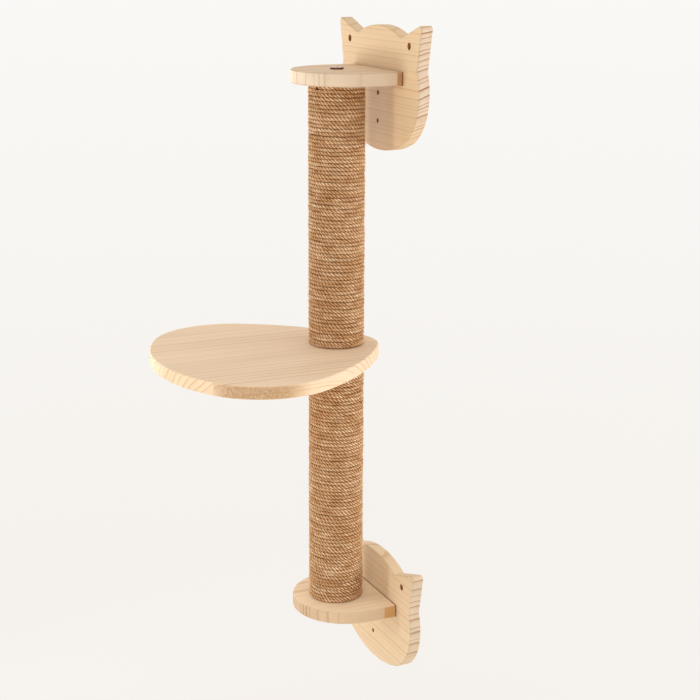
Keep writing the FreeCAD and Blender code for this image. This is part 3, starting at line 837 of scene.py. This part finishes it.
# Loose fibres: short hairs that stand off the wound rope, each a tapered thread with a bend
def loose_fibres(name, core, seed, material):
    low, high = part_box(core)
    rng = np.random.default_rng(seed)
    angle = rng.uniform(0, 2 * math.pi, FIBRES)
    height = rng.uniform(low.z + FIBRE_LENGTH, high.z - FIBRE_LENGTH, FIBRES)
    root_radius = core_radius + 2 * ROPE_RADIUS - ROPE_PRESSED - FIBRE_ROOT_DEPTH
    level = np.zeros(FIBRES)
    outward = np.stack([np.cos(angle), np.sin(angle), level], axis=-1)
    along = np.stack([-np.sin(angle), np.cos(angle), level], axis=-1)
    along = along * rng.choice((-1.0, 1.0), FIBRES)[:, None]
    upward = np.array([0.0, 0.0, 1.0])
    slope = rng.uniform(-0.7, 0.7, FIBRES)[:, None]
    lift = rng.uniform(0.25, 0.75, FIBRES)[:, None]
    reach = rng.uniform(0.4, 1.0, FIBRES)[:, None] * FIBRE_LENGTH
    root = outward * root_radius + upward * height[:, None] + np.array([post_x, post_y, 0.0])
    bend = root + reach * 0.5 * (along + slope * upward + lift * outward)
    tip = bend + reach * 0.5 * (along + 0.4 * slope * upward + 0.2 * lift * outward)

    root_corners, bend_corners = [], []
    for corner in range(FIBRE_SIDES):
        way = 2 * math.pi * corner / FIBRE_SIDES
        side = math.cos(way) * outward + math.sin(way) * upward
        root_corners.append(root + side * FIBRE_RADIUS)
        bend_corners.append(bend + side * FIBRE_RADIUS * FIBRE_TAPER)
    threads = np.stack(root_corners + bend_corners + [tip], axis=1)
    faces = []
    for first in range(0, FIBRES * threads.shape[1], threads.shape[1]):
        at_bend = first + FIBRE_SIDES
        at_tip = at_bend + FIBRE_SIDES
        faces.append([first + 2, first + 1, first])
        for corner in range(FIBRE_SIDES):
            after = (corner + 1) % FIBRE_SIDES
            faces.append([first + corner, first + after, at_bend + after, at_bend + corner])
            faces.append([at_bend + corner, at_bend + after, at_tip])
    piece = smooth_piece(name, new_mesh(name, threads.reshape(-1, 3), faces))
    dress(piece, material, "frame", "sisal_rope")


# Faces are picked by a test, in edit mode
def select_faces(piece, test):
    bpy.ops.mesh.select_all(action="DESELECT")
    bpy.ops.object.mode_set(mode="OBJECT")
    for face in piece.data.polygons:
        face.select = test(face)
    bpy.ops.object.mode_set(mode="EDIT")


def add_cylinder(corners, radius, low_z, high_z):
    deselect_all()
    bpy.ops.mesh.primitive_cylinder_add(
        vertices=corners, radius=radius, depth=high_z - low_z,
        location=(0, 0, (low_z + high_z) / 2),
    )
    bpy.ops.object.transform_apply(location=True)
    return bpy.context.object


# A tool shape is cut from a model or joined to it, and then removed
def combine_solids(model, operation, tool):
    apply_modifier(model, "BOOLEAN", operation=operation, object=tool, solver="EXACT")
    bpy.data.objects.remove(tool)


# A piece modelled once at the origin gives each copy its own mesh, moved to its place
def copy_at(model, name, place):
    mesh = model.data.copy()
    mesh.transform(place)
    mesh.update()
    return link_piece(name, mesh)


# Bolts: a wide flat head with a hex socket on a plain shank, head upwards and seat at the origin
def bolts(material, painted_rim_shade):
    low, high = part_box("top_bolt")
    head_radius = (high.x - low.x) / 2
    shank_length = high.z - low.z - BOLT_HEAD_HEIGHT
    model = add_cylinder(BOLT_HEAD_CORNERS, head_radius, 0, BOLT_HEAD_HEIGHT)
    bpy.ops.object.mode_set(mode="EDIT")
    bpy.ops.mesh.select_mode(type="FACE")
    select_faces(model, lambda face: face.normal.z > 0.9)
    bpy.ops.mesh.inset(thickness=BOLT_RIM)
    bpy.ops.mesh.inset(thickness=head_radius - BOLT_RIM - BOLT_SOCKET_LAND)
    bpy.ops.object.mode_set(mode="OBJECT")
    socket = add_cylinder(6, BOLT_SOCKET_RADIUS, BOLT_SOCKET_FLOOR, 2 * BOLT_HEAD_HEIGHT)
    combine_solids(model, "DIFFERENCE", socket)
    shank = add_cylinder(BOLT_SHANK_CORNERS, BOLT_SHANK_RADIUS, -shank_length, 0)
    combine_solids(model, "UNION", shank)
    apply_modifier(
        model, "BEVEL", width=BOLT_EDGE_ROUND, segments=3, limit_method="ANGLE",
        angle_limit=BOLT_EDGE_ANGLE,
    )
    bpy.ops.object.shade_smooth_by_angle(angle=METAL_SMOOTH_ANGLE)
    top_seat = Vector((post_x, post_y, high.z - BOLT_HEAD_HEIGHT))
    bottom_seat = Vector((post_x, post_y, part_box("bottom_bolt")[0].z + BOLT_HEAD_HEIGHT))
    head_down = Matrix.Rotation(math.pi, 4, "X")
    places = (
        ("top_bolt_head", "top_bolt", Matrix.Translation(top_seat)),
        ("bottom_bolt_head", "bottom_bolt", Matrix.Translation(bottom_seat) @ head_down),
    )
    for name, node, place in places:
        piece = copy_at(model, name, place)
        dress(piece, material, "frame", "zinc_steel", node)
        # The head's side faces and the socket's walls get a dark brown as painted shade.
        piece.data.materials.append(painted_rim_shade)
        for face in piece.data.polygons:
            if abs(face.normal.z) < 0.3:
                face.material_index = 1
    bpy.data.objects.remove(model)


# Tacks: a domed head cut flat below, with a pointed shank drawn out of it, pressed into the rope
def tacks(material):
    deselect_all()
    bpy.ops.mesh.primitive_uv_sphere_add(segments=24, ring_count=12, radius=TACK_HEAD_RADIUS)
    model = bpy.context.object
    model.scale = (1, 1, TACK_DOME)
    bpy.ops.object.transform_apply(scale=True)
    bpy.ops.object.mode_set(mode="EDIT")
    bpy.ops.mesh.select_all(action="SELECT")
    bpy.ops.mesh.bisect(
        plane_co=(0, 0, -TACK_RIM), plane_no=(0, 0, 1), use_fill=True, clear_inner=True
    )
    bpy.ops.mesh.inset(thickness=TACK_HEAD_RADIUS - TACK_SHANK_RADIUS)
    for share in (1 - TACK_POINT_SHARE, TACK_POINT_SHARE):
        down = (0, 0, -TACK_LENGTH * share)
        bpy.ops.mesh.extrude_region_move(TRANSFORM_OT_translate={"value": down})
    bpy.ops.mesh.merge(type="COLLAPSE")
    bpy.ops.object.mode_set(mode="OBJECT")
    bpy.ops.object.shade_smooth_by_angle(angle=METAL_SMOOTH_ANGLE)
    seat_radius = core_radius + 2 * ROPE_RADIUS - ROPE_PRESSED - TACK_SUNK
    for name, (angle, height) in (("upper_tack", UPPER_TACK), ("lower_tack", LOWER_TACK)):
        out = Vector((math.cos(angle), math.sin(angle), 0))
        turn = out.to_track_quat("Z", "Y").to_matrix().to_4x4()
        spot = Vector((post_x, post_y, height)) + out * seat_radius
        piece = copy_at(model, name, Matrix.Translation(spot) @ turn)
        dress(piece, material, "frame", "zinc_steel")
    bpy.data.objects.remove(model)


# Hidden pieces keep the frame's solids
def hidden_pieces(zinc):
    # The cores' wood is a dark red-brown, as painted shade where it shows between the rope's
    # turns.
    core_wood_gap_shade = pine(
        "core_wood_painted_gap_shade", "X", "Z", (0, 0.02, 0.0), ONE_PIECE, 9.0,
        pale=(0.60, 0.26, 0.08, 1), dark=(0.48, 0.19, 0.05, 1), end_pale=(0.60, 0.26, 0.08, 1),
    )
    insert_zinc = metal_material("cast_zinc", (0.60, 0.59, 0.56, 1), 0.5)
    for name, node in nodes.items():
        if name in ("upper_post_core", "lower_post_core"):
            cover(node, core_wood_gap_shade)
        elif "insert" in name:
            cover(node, insert_zinc)
        elif "stud" in name or "screw" in name:
            cover(node, zinc)


# Rays that show the stage itself, while all others only gather its light
def seen_rays(tree):
    path = add_node(tree, "ShaderNodeLightPath").outputs
    seen = math_node(tree, "MAXIMUM", path["Is Camera Ray"], path["Is Glossy Ray"])
    return math_node(tree, "MAXIMUM", seen, path["Is Transmission Ray"])


# Stage: a pale floor, far below, painted darker near the object as painted shade, and a pale
# surround
def stage():
    floor_middle = (post_x, post_y, cad_low.z - FLOOR_DROP)
    deselect_all()
    bpy.ops.mesh.primitive_plane_add(size=FLOOR_SIZE, location=(0, 0, floor_middle[2]))
    floor = bpy.context.object
    floor.name = "floor"
    material = bpy.data.materials.new("pale_floor")
    material.use_nodes = True
    tree = material.node_tree
    tree.nodes.clear()
    end = add_node(tree, "ShaderNodeOutputMaterial")
    place = add_node(tree, "ShaderNodeNewGeometry").outputs["Position"]
    away = vector_node(tree, "DISTANCE", place, floor_middle)
    # Painted shade: the floor darkens towards the object.
    nearness = math_node(tree, "SQRT", math_node(tree, "DIVIDE", FLOOR_NEAR, away, clamp=True))
    colour = mix_colour(tree, nearness, BACKGROUND_FAR, BACKGROUND_NEAR_SHADE)
    glow = add_node(tree, "ShaderNodeEmission")
    tree.links.new(colour, glow.inputs["Color"])
    matte = add_node(tree, "ShaderNodeBsdfDiffuse")
    tree.links.new(colour, matte.inputs["Color"])
    mix_shaders(tree, math_node(tree, "MULTIPLY", seen_rays(tree), FLOOR_GLOW), matte, glow, end)
    floor.data.materials.append(material)


def surround():
    world = bpy.data.worlds.new("pale_surround")
    bpy.context.scene.world = world
    world.use_nodes = True
    tree = world.node_tree
    tree.nodes.clear()
    end = add_node(tree, "ShaderNodeOutputWorld")
    shown = add_node(tree, "ShaderNodeBackground")
    shown.inputs["Color"].default_value = BACKGROUND_FAR
    lighting = add_node(tree, "ShaderNodeBackground")
    lighting.inputs["Color"].default_value = SURROUND_COLOUR
    way = add_node(tree, "ShaderNodeTexCoord").outputs["Generated"]
    rise = separate(tree, way)["Z"]
    level = ramp(tree, rise, ((0.0, 1.0), (0.35, 1.0), (0.65, OVERHEAD_SHARE)))
    strength = math_node(tree, "MULTIPLY", level, SURROUND_STRENGTH)
    tree.links.new(strength, lighting.inputs["Strength"])
    mix_shaders(tree, seen_rays(tree), lighting, shown, end)


def lamps():
    middle = (cad_low + cad_high) / 2
    for name, (direction, distance, width, height, power) in LAMPS.items():
        data = bpy.data.lights.new(name, "AREA")
        data.shape = "RECTANGLE"
        data.size = width
        data.size_y = height
        data.energy = power
        data.color = LAMP_COLOUR
        light = bpy.data.objects.new(name, data)
        bpy.context.scene.collection.objects.link(light)
        way = Vector(direction).normalized()
        light.location = middle + way * distance
        light.rotation_euler = way.to_track_quat("Z", "Y").to_euler()
        light.visible_camera = False


def camera():
    data = bpy.data.cameras.new("camera")
    data.sensor_width = SENSOR_WIDTH
    data.lens = SENSOR_WIDTH * FOCAL_PIXELS / IMAGE_PIXELS
    data.clip_end = VIEW_REACH
    eye = bpy.data.objects.new("camera", data)
    bpy.context.scene.collection.objects.link(eye)
    back = Vector((
        math.sin(CAMERA_AZIMUTH) * math.cos(CAMERA_ELEVATION),
        -math.cos(CAMERA_AZIMUTH) * math.cos(CAMERA_ELEVATION),
        math.sin(CAMERA_ELEVATION),
    ))
    eye.location = CAMERA_TARGET + back * CAMERA_DISTANCE
    way = CAMERA_TARGET - eye.location
    facing = way.to_track_quat("-Z", "Y").to_matrix().to_4x4()
    tilt = facing @ Matrix.Rotation(CAMERA_ROLL, 4, "Z")
    eye.rotation_euler = tilt.to_euler()
    bpy.context.scene.camera = eye


# The object
boards()
rope = rope_material()
wound_rope("upper_rope", "upper_rope_winding", "upper_post_core", 11, rope)
wound_rope("lower_rope", "lower_rope_winding", "lower_post_core", 12, rope)
fibres = fibre_material()
loose_fibres("upper_rope_fibres", "upper_post_core", 21, fibres)
loose_fibres("lower_rope_fibres", "lower_post_core", 22, fibres)
bright_zinc = metal_material("bright_zinc", (0.66, 0.61, 0.55, 1), 0.30)
# The bolts' side faces are painted dark brown, as painted shade.
bolts(bright_zinc, metal_material("bolt_side_painted_shade", (0.20, 0.09, 0.045, 1), 0.5))
# The tacks' steel is a very dark brown.
tacks(metal_material("very_dark_tack_steel", (0.12, 0.034, 0.012, 1), 0.6))
hidden_pieces(bright_zinc)

# The scene
bpy.context.scene.view_settings.view_transform = "Standard"
stage()
surround()
lamps()
camera()
